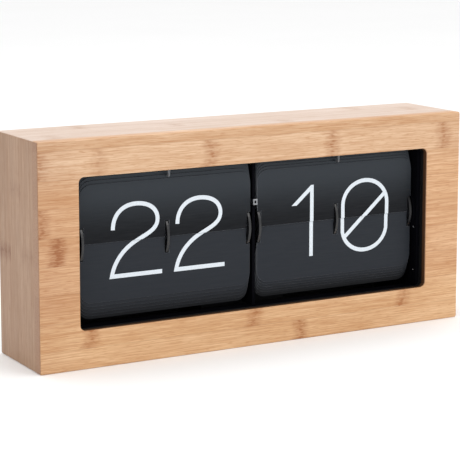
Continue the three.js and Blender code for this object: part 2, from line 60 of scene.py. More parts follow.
# ---- Stage ------------------------------------------------------------------------------
FLOOR_REACH = 8.0
LIGHT_TARGET = (0, 0, 0.08)
KEY_LIGHT = {"place": (1.1, -1.7, 1.9), "size": (1.4, 1.4), "energy": 11, "colour": (1, 0.99, 0.97)}
OVERHEAD_LIGHT = {"place": (0.1, 0.2, 1.9), "size": (1.6, 1.0), "energy": 12, "colour": (1, 1, 1)}

# ---- Box --------------------------------------------------------------------------------
WALL = 10 * MM                      # thickness of the top, bottom and side boards
CORNER_ROUND = 1.6 * MM
FRONT_EDGE_ROUND = {"outer": 1.3 * MM, "inner": 1.0 * MM}
REAR_EDGE_ROUND = 0.9 * MM
WINDOW_ROUND = 4 * MM
WINDOW_HALF_WIDTH = 148.5 * MM
WINDOW_LOW = 28 * MM
WINDOW_HIGH = 138 * MM
EDGE_SLACK = 0.2 * MM
WALL_FRONT_Y = -35.1 * MM           # the walls start behind the window's rounded front edge; painted shade darkens them from here
BLACK_FRONT_Y = -31.5 * MM          # the window's walls are black behind this
STRIP_WIDTH = 20.4 * MM

# Where the front board's painted light changes: from the middle's tint to the paler, bluer one at the
# top or the paler one at the bottom, and from the full painted shade of the left end to none
TOP_LIGHT_Z = (0.124, 0.142)
BOTTOM_LIGHT_Z = (0.048, 0.025)
LEFT_SHADE_X = (-0.172, -0.140)
MIDDLE_TINT = (0.965, 0.94, 0.89, 1)
TOP_PAINTED_LIGHT = (1.005, 1.08, 1.165, 1)
BOTTOM_PAINTED_LIGHT = (1.06, 1.10, 1.05, 1)
LEFT_PAINTED_SHADE = (0.92, 0.90, 0.90, 1)

# ---- Leaves and numerals ----------------------------------------------------------------
HINGE_GAP = 0.1 * MM                # from the split line to the front leaf's hinge edge
SPLIT_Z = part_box("hour_falling_leaf")[0].z - HINGE_GAP
HINGE_RADIUS = 20 * MM
LEAF_LAYER = 0.7 * MM
LEAF_REFLECTION_BAND = (0.002, 0.046)     # heights from the split line between which a leaf grows paler, a painted reflection
STACK_SHADE_BAND = (-0.0225, -0.0185)    # depths between which the lower leaves grow darker, painted shade
DRUM_PLACES = {"hour": 48, "minute": 60}
MODELLED_LEAVES = {"upper": 3, "lower": 5}      # leaves of each stack that are in the frame
EXTRA_UPPER = 4                     # leaves behind the ones in the frame, seen past their edges
EXTRA_LOWER = {"hour": 1, "minute": 2}
STROKE = 3.1 * MM
INK = 0.05 * MM
INK_STEP = 0.25                     # share by which a crossing stroke is printed thinner
PRINT_GAP = 0.12 * MM               # bare edge that the print leaves at the split line
BASELINE = SPLIT_Z - 26.9 * MM
DIGIT_PITCH = 52.2 * MM
DIGIT_SHIFT = 0.6 * MM

# ---- Rivets, rear cover and battery cell ------------------------------------------------
RIVET_Z = (0.0745, 0.0400)
RIVET_INSET = 3.6 * MM              # from the front edge of the end plate
RIVET = {"radius": 0.55 * MM, "rounding": 0.2 * MM, "segments": 16}
RIVET_PROUD = 0.5 * MM
DOOR_THICKNESS = 2 * MM
COVER_INSIDE_Y = 30.5 * MM          # the rear cover is painted black in front of this, as shade inside the box
SINK = 0.1 * MM                     # how far a raised detail reaches into the cover
VENT_X = 0.075
VENT_ROWS = 6
VENT_LOW = 0.098
VENT_PITCH = 6 * MM
VENT_HALF_WIDTH = 22 * MM
VENT_HEIGHT = 2.2 * MM
VENT_PROUD = 0.7 * MM
SURROUND_GAP = 1.2 * MM
SURROUND_WIDTH = 1.4 * MM
SURROUND_PROUD = 0.8 * MM
ARROW_X = 147.5 * MM
ARROW_PROUD = 0.4 * MM
ARROW_OUTLINE = ((-0.5, -7), (0.5, -7), (0.5, 4), (2, 4), (0, 7.5), (-2, 4), (-0.5, 4))
CELL_SHOULDER_X = (0.0115, 0.0118)  # where the cell's dark sleeve ends

# ---- Edge rounding of the CAD nodes, in millimetres, by part of the name ------------------
ROUNDING = {
    "_disc_": 0.45,
    "_leaf": 0.18,
    "_catch": 0.3,
    "centre_clip": 0.12,
    "rear_cover": 0.3,
    "battery_door": 0.3,
    "cover_screw": 0.35,
    "set_wheel": 0.12,
    "_rail": 0.4,
    "_plate": 0.25,
    "battery_cell": 0.8,
    "motor": 0.3,
}
SHARP_NODES = ("motor_pinion",)     # "motor" above means the motor alone
ROUNDING_SEGMENTS = 2
ROUNDING_ANGLE = 35                 # degrees between faces from which an edge is rounded
WELD_DISTANCE = 0.01 * MM


# =========================================================================================
# Shader helper
# =========================================================================================


class Shader:
    """A material under construction. Each method adds one node and returns its output."""

    def __init__(self, name):
        self.material = bpy.data.materials.new(name)
        self.material.use_nodes = True
        self.tree = self.material.node_tree
        self.surface = self.tree.nodes["Principled BSDF"]

    def add(self, kind, inputs, output=0, **settings):
        made = self.tree.nodes.new(kind)
        for key, value in settings.items():
            setattr(made, key, value)
        for key, value in inputs.items():
            self.feed(made.inputs[key], value)
        return made.outputs[output]

    def feed(self, socket, value):
        if isinstance(value, bpy.types.NodeSocket):
            self.tree.links.new(value, socket)
        else:
            socket.default_value = value

    def math(self, operation, first, second=0.0, third=0.0, clamp=False):
        inputs = {0: first, 1: second, 2: third}
        return self.add("ShaderNodeMath", inputs, operation=operation, use_clamp=clamp)

    def place(self):
        """The point in the row's frame, because every piece's object sits at the origin."""
        return self.add("ShaderNodeTexCoord", {}, output="Object")

    def parts(self, vector):
        split = self.tree.nodes.new("ShaderNodeSeparateXYZ")
        self.feed(split.inputs[0], vector)
        return dict(zip("XYZ", split.outputs))

    def axes(self):
        return self.parts(self.place())

    def normals(self):
        return self.parts(self.add("ShaderNodeTexCoord", {}, output="Normal"))

    def vector(self, x, y, z):
        return self.add("ShaderNodeCombineXYZ", {0: x, 1: y, 2: z})

    def stretch(self, vector, factors):
        return self.add("ShaderNodeVectorMath", {0: vector, 1: factors}, operation="MULTIPLY")

    def noise(self, vector, scale=1.0, detail=2.0, rough=0.5):
        inputs = {"Vector": vector, "Scale": scale, "Detail": detail, "Roughness": rough}
        return self.add("ShaderNodeTexNoise", inputs)

    def remap(self, value, low, high, new_low=0.0, new_high=1.0, smooth=False):
        inputs = {0: value, 1: low, 2: high, 3: new_low, 4: new_high}
        shape = "SMOOTHSTEP" if smooth else "LINEAR"
        return self.add("ShaderNodeMapRange", inputs, interpolation_type=shape)

    def mix(self, share, first, second, blend="MIX"):
        inputs = {0: share, 6: first, 7: second}
        settings = {"data_type": "RGBA", "blend_type": blend}
        return self.add("ShaderNodeMix", inputs, output=2, **settings)

    def bump(self, height, strength, distance):
        inputs = {"Height": height, "Strength": strength, "Distance": distance}
        return self.add("ShaderNodeBump", inputs)

    def finish(self, **sockets):
        for name, value in sockets.items():
            self.feed(self.surface.inputs[name.replace("_", " ")], value)
        return self.material


# =========================================================================================
# Materials
# =========================================================================================


def bamboo(name, along, across, edge, knots, seed, tones, contrast=1.0, gloss=0.45, shade=None):
    """Pressed bamboo strips. The grain runs on axis `along`, the strips lie side by side on axis
    `across` with a joint at `edge`, and each knot row is (strip number, place, spacing, strength).
    `tones` are the dark and the pale end of its colour, `contrast` is the strength of its fibres and
    `gloss` that of its reflections. `shade` is a function that changes the colour by place."""
    s = Shader(name)
    axis = s.axes()
    depth = ({"X", "Y", "Z"} - {along, across}).pop()
    run, side, third = axis[along], axis[across], axis[depth]

    strips = s.math("DIVIDE", s.math("SUBTRACT", side, edge), STRIP_WIDTH)
    strip = s.math("FLOOR", strips)
    within = s.math("FRACT", strips)
    key = s.math("ADD", strip, seed)
    chance = s.add("ShaderNodeTexWhiteNoise", {"W": key}, noise_dimensions="1D")
    shifted = s.math("ADD", run, s.math("MULTIPLY", chance, 40.0))
    grain = s.vector(shifted, side, third)

    fibre = s.noise(s.stretch(grain, (11, 560, 560)), detail=3.0, rough=0.6)
    hair = s.noise(s.stretch(grain, (42, 1500, 1500)), detail=2.0)
    cloud = s.noise(s.stretch(grain, (14, 70, 70)), detail=2.0)
    dash = s.noise(s.stretch(grain, (120, 1500, 1500)), detail=1.0)
    dashes = s.remap(dash, 0.56, 0.68, smooth=True)

    strip_tone = s.remap(chance, 0.0, 1.0, 0.2, 0.8)
    tone = s.math("ADD", strip_tone, s.remap(cloud, 0.3, 0.7, -0.35, 0.35), clamp=True)
    colour = s.mix(tone, tones[0], tones[1])
    dark_fibre = s.mix(1.0, tones[0], (0.76, 0.58, 0.40, 1), blend="MULTIPLY")
    colour = s.mix(s.remap(fibre, 0.42, 0.64, 0.0, 0.40 * contrast), colour, dark_fibre)
    colour = s.mix(s.remap(hair, 0.46, 0.68, 0.0, 0.50 * contrast), colour, dark_fibre)
    colour = s.mix(s.math("MULTIPLY", dashes, 0.50 * contrast), colour, dark_fibre)
    bright_fibre = s.mix(1.0, tones[1], (1.12, 1.16, 1.20, 1), blend="MULTIPLY")
    colour = s.mix(s.remap(hair, 0.28, 0.44, 0.45 * contrast, 0.0), colour, bright_fibre)

    wobble = s.remap(s.noise(s.stretch(grain, (30, 260, 260))), 0.0, 1.0, -0.0045, 0.0045)
    bow = s.math("MULTIPLY", s.math("POWER", s.math("SUBTRACT", within, 0.5), 2.0), 0.008)
    line = s.math("ADD", s.math("ADD", run, wobble), bow)
    marks = 0.0
    for number, place, spacing, strength in knots:
        offset = s.math("SUBTRACT", line, place)
        distance = s.math("PINGPONG", offset, spacing / 2)
        halo = s.remap(distance, 0.0030, 0.0090, strength * 0.85, 0.0, smooth=True)
        core = s.remap(distance, 0.0, 0.0030, strength * 0.60, 0.0, smooth=True)
        here = s.math("COMPARE", strip, number, 0.5)
        mark = s.math("MULTIPLY", s.math("ADD", halo, core), here)
        marks = s.math("ADD", mark, marks)
    short = s.noise(s.stretch(grain, (260, 1100, 1100)), detail=1.0)
    flecks = s.math("ADD", s.remap(fibre, 0.38, 0.60, 0.35, 0.70), s.remap(short, 0.46, 0.62, 0.0, 0.55))
    streaked = s.math("MULTIPLY", marks, flecks, clamp=True)
    knot_brown = s.mix(1.0, tones[0], (0.62, 0.42, 0.27, 1), blend="MULTIPLY")
    colour = s.mix(streaked, colour, knot_brown)

    seam_low = s.remap(within, 0.0, 0.022, 0.30, 0.0, smooth=True)
    seam_high = s.remap(within, 0.982, 1.0, 0.0, 0.30, smooth=True)
    colour = s.mix(s.math("ADD", seam_low, seam_high), colour, (0.34, 0.18, 0.09, 1))

    if shade:
        colour = shade(s, colour, axis, chance)

    height = s.math("ADD", s.math("MULTIPLY", fibre, 0.6), s.math("MULTIPLY", hair, 0.4))
    return s.finish(
        Base_Color=colour,
        Roughness=s.remap(fibre, 0.3, 0.7, 0.42, 0.56),
        Normal=s.bump(height, 0.35, 0.00012),
        Specular_IOR_Level=gloss,
        Coat_Weight=gloss / 4,
        Coat_Roughness=0.35,
    )


def shade_front(s, colour, axis, chance):
    """Paints light on the front board by height, paler and bluer towards the top and paler towards the
    bottom, and painted shade at its left end; shows darker end grain on the faces across the grain; and
    paints shade on the window's wooden walls, which are black further in."""
    # painted light: paler and bluer towards the top of the front board, paler towards its bottom
    tint = s.mix(s.remap(axis["Z"], *TOP_LIGHT_Z), MIDDLE_TINT, TOP_PAINTED_LIGHT)
    tint = s.mix(s.remap(axis["Z"], *BOTTOM_LIGHT_Z), tint, BOTTOM_PAINTED_LIGHT)
    colour = s.mix(1.0, colour, tint, blend="MULTIPLY")
    # painted shade: the left end of the front board darker
    left = s.remap(axis["X"], *LEFT_SHADE_X)
    colour = s.mix(left, s.mix(1.0, colour, LEFT_PAINTED_SHADE, blend="MULTIPLY"), colour)
    facing = s.math("ABSOLUTE", s.normals()["X"])
    ends = s.remap(facing, 0.55, 0.85)
    pores = s.noise(s.stretch(s.place(), (900, 900, 900)), detail=2.0)
    dark = s.mix(chance, (0.31, 0.165, 0.090, 1), (0.35, 0.195, 0.110, 1))
    dark = s.mix(s.remap(pores, 0.42, 0.68, 0.0, 0.5), dark, (0.20, 0.09, 0.04, 1))
    colour = s.mix(ends, colour, dark)
    # painted shade: the window's wooden walls dark brown behind its rounded front edge
    colour = s.mix(window_wall(s, axis, WALL_FRONT_Y), colour, (0.085, 0.036, 0.014, 1))
    return s.mix(window_wall(s, axis, BLACK_FRONT_Y), colour, (0.004, 0.004, 0.004, 1))


def window_wall(s, axis, from_y):
    """1 on the walls of the window in the front board, where they lie behind from_y, else 0."""
    across = s.math("LESS_THAN", s.math("ABSOLUTE", axis["X"]), WINDOW_HALF_WIDTH + EDGE_SLACK)
    above = s.math("GREATER_THAN", axis["Z"], WINDOW_LOW - EDGE_SLACK)
    below = s.math("LESS_THAN", axis["Z"], WINDOW_HIGH + EDGE_SLACK)
    behind = s.math("GREATER_THAN", axis["Y"], from_y)
    return s.math("MULTIPLY", s.math("MULTIPLY", across, above), s.math("MULTIPLY", below, behind))


def moulded(name, colour, roughness, grain=2400, bump=0.25, lift=0.35, specular=0.5, shade_before=None):
    """Moulded plastic with a fine spark-eroded texture and slightly uneven gloss. `lift` is how much
    paler its pale areas are. Where its Y is under the given limit it is painted black, as shade inside
    the box."""
    s = Shader(name)
    place = s.place()
    fine = s.noise(place, scale=grain, detail=2.0)
    broad = s.noise(place, scale=38, detail=3.0)
    light = tuple(min(1.0, c * (1 + lift)) for c in colour[:3]) + (1,)
    tint = s.mix(s.remap(broad, 0.35, 0.68), colour, light)
    if shade_before is not None:
        # painted shade: the cover black inside the box
        inside = s.math("LESS_THAN", s.axes()["Y"], shade_before)
        tint = s.mix(inside, tint, (0.0015, 0.0015, 0.0025, 1))
    return s.finish(
        Base_Color=tint,
        Roughness=s.remap(broad, 0.3, 0.7, roughness - 0.05, roughness + 0.06),
        Normal=s.bump(fine, bump, 0.00005),
        Specular_IOR_Level=specular,
    )


def leaf_sheet():
    """Anthracite leaf: matt sheet with a faint rolled grain along X, and its edges painted paler as a
    highlight. The leaves above the split line are painted paler away from it as a reflection, and the
    ones below are painted darker with depth as shade."""
    s = Shader("leaf_sheet")
    axis = s.axes()
    rolled = s.noise(s.stretch(s.place(), (60, 900, 900)), detail=3.0)
    far = s.math("ABSOLUTE", s.math("SUBTRACT", axis["Z"], SPLIT_Z))
    # painted reflection: the upper leaves paler away from the split line
    pale = s.remap(far, *LEAF_REFLECTION_BAND, smooth=True)
    upper = s.mix(pale, (0.0040, 0.0048, 0.0068, 1), (0.039, 0.046, 0.055, 1))
    # painted shade: the lower leaves darker the deeper they hang
    depth = s.remap(axis["Y"], *STACK_SHADE_BAND)
    lower = s.mix(depth, (0.0205, 0.0240, 0.0305, 1), (0.0060, 0.0065, 0.0080, 1))
    standing = s.math("GREATER_THAN", axis["Z"], SPLIT_Z)
    base = s.mix(standing, lower, upper)
    worn = s.mix(s.remap(rolled, 0.35, 0.7, 0.0, 0.12), base, (0.050, 0.054, 0.060, 1))
    # painted highlight: the leaves' edges paler
    facing = s.math("ABSOLUTE", s.normals()["Y"])
    edge = s.remap(facing, 0.985, 0.80)
    highlit_edge = s.mix(edge, worn, (0.17, 0.18, 0.20, 1))
    return s.finish(
        Base_Color=highlit_edge,
        Roughness=s.remap(rolled, 0.3, 0.7, 0.32, 0.42),
        Normal=s.bump(rolled, 0.10, 0.00004),
        Specular_IOR_Level=0.12,
    )


def ink():
    s = Shader("numeral_ink")
    fine = s.noise(s.place(), scale=1500, detail=2.0)
    tint = s.mix(s.remap(fine, 0.3, 0.7), (0.74, 0.80, 0.86, 1), (0.68, 0.74, 0.80, 1))
    return s.finish(Base_Color=tint, Roughness=0.45, Normal=s.bump(fine, 0.1, 0.00003))


def drawn_steel(name, colour, roughness, along=(40, 1800, 1800)):
    s = Shader(name)
    brush = s.noise(s.stretch(s.place(), along), detail=3.0)
    tint = s.mix(s.remap(brush, 0.3, 0.7), colour, tuple(c * 0.72 for c in colour[:3]) + (1,))
    return s.finish(
        Base_Color=tint,
        Metallic=1.0,
        Roughness=s.remap(brush, 0.3, 0.7, roughness - 0.06, roughness + 0.10),
        Normal=s.bump(brush, 0.15, 0.00003),
    )


def cell_jacket():
    """Plain two-tone cell jacket: dark sleeve, and a copper-coloured end at the positive side."""
    s = Shader("cell_jacket")
    axis = s.axes()
    shoulder = s.remap(axis["X"], *CELL_SHOULDER_X)
    scuff = s.noise(s.place(), scale=140, detail=4.0)
    body = s.mix(s.remap(scuff, 0.5, 0.75), (0.045, 0.047, 0.052, 1), (0.10, 0.10, 0.11, 1))
    tint = s.mix(shoulder, body, (0.62, 0.36, 0.17, 1))
    return s.finish(
        Base_Color=tint,
        Metallic=0.6,
        Roughness=s.remap(scuff, 0.3, 0.7, 0.28, 0.42),
    )


def solder_mask():
    """Green board with copper tracks running under the mask."""
    s = Shader("circuit_board")
    axis = s.axes()
    grid = s.noise(s.stretch(s.place(), (160, 1, 420)), detail=0.0)
    wavering = s.math("ADD", axis["X"], s.math("MULTIPLY", grid, 0.006))
    tracks = s.remap(s.math("PINGPONG", wavering, 0.0016), 0.0009, 0.0011)
    tint = s.mix(tracks, (0.020, 0.105, 0.045, 1), (0.055, 0.20, 0.085, 1))
    return s.finish(Base_Color=tint, Roughness=0.35, Normal=s.bump(tracks, 0.3, 0.00006))


ONCE = 2.0                          # spacing of a knot that has no second one on its strip
FRONT_KNOTS = (
    (6, -0.178, ONCE, 0.50),
    (6, -0.133, ONCE, 0.32),
    (6, -0.043, ONCE, 0.58),
    (6, 0.062, ONCE, 0.58),
    (6, 0.165, ONCE, 0.55),
    (0, -0.006, 0.134, 0.70),
    (3, -0.165, ONCE, 1.00),
    (4, -0.177, ONCE, 0.55),
    (-1, 0.034, ONCE, 0.72),
)
SIDE_KNOTS = ((0, 0.080, ONCE, 0.75), (-1, 0.127, ONCE, 0.35), (-2, 0.082, ONCE, 0.30))
TOP_KNOTS = ((-1, -0.052, 0.210, 0.30), (0, 0.118, 0.240, 0.28), (-2, 0.030, 0.190, 0.25))
WARM = ((0.580, 0.320, 0.160, 1), (0.735, 0.470, 0.282, 1))
PALE = ((0.575, 0.450, 0.370, 1), (0.665, 0.545, 0.475, 1))
# the side boards' tones: their own dusky grain, darkened further by painted shade
DUSKY_AND_SHADED = ((0.315, 0.185, 0.105, 1), (0.42, 0.265, 0.165, 1))

MATERIALS = {
    "front": bamboo("bamboo_front", "X", "Z", 0.015, FRONT_KNOTS, 11.0, WARM, shade=shade_front),
    "side": bamboo("bamboo_side", "Z", "Y", 0.014, SIDE_KNOTS, 23.0, DUSKY_AND_SHADED),
    "top": bamboo("bamboo_top", "X", "Y", 0.014, TOP_KNOTS, 37.0, PALE, contrast=0.5, gloss=0.15),
    "leaf": leaf_sheet(),
    "ink": ink(),
    "black": moulded("moulded_black", (0.0020, 0.0020, 0.0032, 1), 0.60, specular=0.02),
    "gloss_black": moulded("moulded_gloss_black", (0.005, 0.005, 0.006, 1), 0.27, bump=0.08, specular=0.6),
    "cover": moulded("moulded_cover", (0.016, 0.016, 0.017, 1), 0.52, grain=1700, bump=0.5,
                     specular=0.15, shade_before=COVER_INSIDE_Y),
    "grey": moulded("moulded_grey", (0.115, 0.12, 0.13, 1), 0.42),
    "gear": moulded("acetal", (0.72, 0.70, 0.64, 1), 0.38, lift=0.08),
    "steel": drawn_steel("drawn_steel", (0.66, 0.67, 0.69, 1), 0.26),
    "spring": drawn_steel("spring_steel", (0.34, 0.35, 0.37, 1), 0.38),
    "zinc": drawn_steel("zinc_plated", (0.55, 0.56, 0.58, 1), 0.34, along=(900, 900, 900)),
    "cell": cell_jacket(),
    "board": solder_mask(),
}


def paint(obj, key):
    obj.data.materials.clear()
    obj.data.materials.append(MATERIALS[key])


def recolour(name, key):
    """Gives a CAD node its finished material, in the slots that it already has."""
    for place in NODES[name].material_slots:
        place.material = MATERIALS[key]


def soften(name, width):
    """Rounds a CAD node's edges with modifiers, so its own mesh stays as it is."""
    obj = NODES[name]
    weld = obj.modifiers.new("weld", "WELD")
    weld.merge_threshold = WELD_DISTANCE
    bevel = obj.modifiers.new("edges", "BEVEL")
    bevel.width = width
    bevel.segments = ROUNDING_SEGMENTS
    bevel.limit_method = "ANGLE"
    bevel.angle_limit = math.radians(ROUNDING_ANGLE)
    bevel.harden_normals = False


# =========================================================================================
# Mesh helpers
# =========================================================================================


def object_from(name, build, key, body):
    """Makes an object from a function that fills a bmesh, and puts it on its body."""
    bm = bmesh.new()
    build(bm)
    bmesh.ops.recalc_face_normals(bm, faces=bm.faces)
    mesh = bpy.data.meshes.new(name)
    bm.to_mesh(mesh)
    bm.free()
    obj = bpy.data.objects.new(name, mesh)
    bpy.context.scene.collection.objects.link(obj)
    paint(obj, key)
    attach(obj, body)
    return obj


def arc(centre, radius, start, end, steps):
    """Points of an arc in the XZ plane, with angles in degrees."""
    points = []
    for step in range(steps + 1):
        angle = math.radians(start + (end - start) * step / steps)
        points.append((centre[0] + radius * math.cos(angle), centre[1] + radius * math.sin(angle)))
    return points


def corner_arcs(x0, x1, z0, z1, radius, steps):
    """The four quarter arcs of a rounded rectangle, from the lower right one, anticlockwise."""
    return [
        arc((x1 - radius, z0 + radius), radius, -90, 0, steps),
        arc((x1 - radius, z1 - radius), radius, 0, 90, steps),
        arc((x0 + radius, z1 - radius), radius, 90, 180, steps),
        arc((x0 + radius, z0 + radius), radius, 180, 270, steps),
    ]


def prism(bm, outline, y0, y1):
    """A closed prism along Y over an outline in the XZ plane. Returns its rear rim's edges."""
    front = [bm.verts.new((x, y0, z)) for x, z in outline]
    rear = [bm.verts.new((x, y1, z)) for x, z in outline]
    bm.faces.new(front)
    bm.faces.new(rear[::-1])
    count = len(outline)
    for i in range(count):
        j = (i + 1) % count
        bm.faces.new((front[j], front[i], rear[i], rear[j]))
    return [bm.edges.get((rear[i], rear[(i + 1) % count])) for i in range(count)]


def box_mesh(bm, low, high):
    prism(bm, [(low[0], low[2]), (high[0], low[2]), (high[0], high[2]), (low[0], high[2])], low[1], high[1])


# =========================================================================================
# Bamboo box
# =========================================================================================


def build_front_frame():
    low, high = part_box("front_frame")
    steps = 6
    half = steps // 2
    outer = corner_arcs(low.x, high.x, low.z, high.z, CORNER_ROUND, steps)
    inner = corner_arcs(-WINDOW_HALF_WIDTH, WINDOW_HALF_WIDTH, WINDOW_LOW, WINDOW_HIGH, WINDOW_ROUND, steps)

    def build(bm):
        rings = {}
        for depth, y in (("front", low.y), ("back", high.y)):
            for label, arcs in (("outer", outer), ("inner", inner)):
                rings[depth, label] = [[bm.verts.new((x, y, z)) for x, z in points] for points in arcs]
        for depth in ("front", "back"):
            for i in range(4):
                j = (i + 1) % 4
                away = rings[depth, "outer"][i][half:] + rings[depth, "outer"][j][: half + 1]
                back = rings[depth, "inner"][i][half:] + rings[depth, "inner"][j][: half + 1]
                bm.faces.new(away + back[::-1])
        rims = {}
        for label in ("outer", "inner"):
            near = sum(rings["front", label], [])
            far = sum(rings["back", label], [])
            count = len(near)
            for i in range(count):
                j = (i + 1) % count
                bm.faces.new((near[i], near[j], far[j], far[i]))
            rims[label] = [bm.edges.get((near[i], near[(i + 1) % count])) for i in range(count)]
        bmesh.ops.recalc_face_normals(bm, faces=bm.faces)
        for label, width in FRONT_EDGE_ROUND.items():
            bmesh.ops.bevel(bm, geom=rims[label], offset=width, segments=4, profile=0.5,
                            affect="EDGES", clamp_overlap=True)

    board = object_from("front_board", build, "front", "case")
    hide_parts("front_frame")


def build_panels():
    """Mitred top, bottom and side boards, whose shared outer corners are rounded together."""
    low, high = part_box("front_frame")
    y0, y1 = high.y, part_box("top_panel")[1].y
    steps = 4
    x0, x1, z0, z1 = low.x, high.x, low.z, high.z
    r = CORNER_ROUND
    inside = {"x0": x0 + WALL, "x1": x1 - WALL, "z0": z0 + WALL, "z1": z1 - WALL}
    lower_right, upper_right = (x1 - r, z0 + r), (x1 - r, z1 - r)
    upper_left, lower_left = (x0 + r, z1 - r), (x0 + r, z0 + r)
    outlines = {
        "top": [(inside["x0"], inside["z1"]), (inside["x1"], inside["z1"])]
        + arc(upper_right, r, 45, 90, steps) + arc(upper_left, r, 90, 135, steps),
        "bottom": [(inside["x1"], inside["z0"]), (inside["x0"], inside["z0"])]
        + arc(lower_left, r, 225, 270, steps) + arc(lower_right, r, 270, 315, steps),
        "left": [(inside["x0"], inside["z0"]), (inside["x0"], inside["z1"])]
        + arc(upper_left, r, 135, 180, steps) + arc(lower_left, r, 180, 225, steps),
        "right": [(inside["x1"], inside["z1"]), (inside["x1"], inside["z0"])]
        + arc(lower_right, r, -45, 0, steps) + arc(upper_right, r, 0, 45, steps),
    }
    for side, outline in outlines.items():

        def build(bm, outline=outline):
            rear = prism(bm, outline, y0, y1)
            mitres = {1, len(outline) - 1}
            soft = [edge for i, edge in enumerate(rear) if i not in mitres]
            bmesh.ops.recalc_face_normals(bm, faces=bm.faces)
            bmesh.ops.bevel(bm, geom=soft, offset=REAR_EDGE_ROUND, segments=3, profile=0.5,
                            affect="EDGES", clamp_overlap=True)

        key = "top" if side in ("top", "bottom") else "side"
        board = object_from(f"{side}_board", build, key, "case")
        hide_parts(f"{side}_panel")


# =========================================================================================
# Leaves and numerals
# =========================================================================================


def bezier(p0, c0, c1, p1, steps=14):
    points = []
    for step in range(steps + 1):
        t = step / steps
        u = 1 - t
        weights = (u ** 3, 3 * u * u * t, 3 * u * t * t, t ** 3)
        points.append(tuple(sum(w * p[i] for w, p in zip(weights, (p0, c0, c1, p1))) for i in (0, 1)))
    return points


def chain(*curves):
    points = []
    for curve in curves:
        points.extend(curve if not points else curve[1:])
    return points


def oval(half_width, straight, half_height, middle, steps=20):
    """Closed centre line of a nought: straight sides joined by half ellipses."""
    points = []
    for step in range(2 * steps):
        angle = math.pi * step / steps
        lift = straight if math.sin(angle) >= 0 else -straight
        height = half_height - straight
        points.append((half_width * math.cos(angle), middle + lift + height * math.sin(angle)))
    return points


# Centre lines of the numerals' strokes in millimetres, from the baseline and the digit's middle.
# Each stroke is (points, closed). A polygon of its own outline is (points, None).
TWO = (
    (chain(
        bezier((-18.4, 35.6), (-18.4, 46.6), (-11.0, 53.6), (0.3, 53.6)),
        bezier((0.3, 53.6), (10.6, 53.6), (17.6, 48.6), (17.6, 41.2)),
        bezier((17.6, 41.2), (17.6, 33.4), (9.6, 31.0), (1.4, 26.8)),
        bezier((1.4, 26.8), (-8.6, 21.8), (-16.9, 13.6), (-19.2, 1.6)),
        [(-19.2, 1.6), (21.4, 1.6)],
    ), False),
)
ONE = (
    ([(2.1, 0.0), (5.2, 0.0), (5.2, 55.2), (2.9, 55.2), (-14.4, 40.3), (-9.8, 40.3), (2.1, 50.4)], None),
)
NOUGHT = (
    (oval(20.4, 9.0, 27.4, 27.7), True),
    ([(-18.2, 11.8), (18.4, 44.0)], False),
)
THREE = (
    (chain(
        bezier((-17.0, 42.6), (-15.6, 49.6), (-9.0, 53.6), (-0.5, 53.6)),
        bezier((-0.5, 53.6), (9.4, 53.6), (15.8, 48.8), (15.8, 41.6)),
        bezier((15.8, 41.6), (15.8, 34.0), (9.0, 29.9), (-1.5, 29.9)),
    ), False),
    (chain(
        bezier((-1.5, 29.9), (11.0, 29.9), (18.8, 24.6), (18.8, 15.8)),
        bezier((18.8, 15.8), (18.8, 7.0), (10.6, 1.6), (0.0, 1.6)),
        bezier((0.0, 1.6), (-10.6, 1.6), (-18.2, 6.6), (-19.6, 14.6)),
    ), False),
)
FACES = {"hour": ((TWO, TWO), (TWO, THREE)), "minute": ((ONE, NOUGHT), (ONE, ONE))}


def ribbon(points, closed):
    """Left and right edges of a stroke of constant width along a centre line, in metres."""
    line = [Vector(p) * MM for p in points]
    count = len(line)
    edges = []
    for i, point in enumerate(line):
        before = line[i - 1] if closed or i > 0 else None
        after = line[(i + 1) % count] if closed or i < count - 1 else None
        heading_in = (point - before).normalized() if before is not None else None
        heading_out = (after - point).normalized() if after is not None else None
        headings = [h for h in (heading_in, heading_out) if h is not None]
        heading = sum(headings, Vector((0, 0))).normalized()
        across = Vector((-heading.y, heading.x))
        reach = STROKE / 2 / max(0.5, heading.dot(headings[0]))
        edges.append((point + across * reach, point - across * reach))
    return edges


def numeral_pieces(digits, centre_x):
    """The flat polygons of each stroke of a pair of digits, as (stroke number, [(x, z), ...])."""
    polygons = []
    for index, strokes in enumerate(digits):
        middle = centre_x + DIGIT_SHIFT + (index - 0.5) * DIGIT_PITCH
        for number, (points, closed) in enumerate(strokes):
            if closed is None:
                polygons.append((number, [(middle + u * MM, BASELINE + v * MM) for u, v in points]))
                continue
            edges = ribbon(points, closed)
            last = len(edges) if closed else len(edges) - 1
            for i in range(last):
                (left0, right0), (left1, right1) = edges[i], edges[(i + 1) % len(edges)]
                quad = (left0, right0, right1, left1)
                polygons.append((number, [(middle + p.x, BASELINE + p.y) for p in quad]))
    return polygons


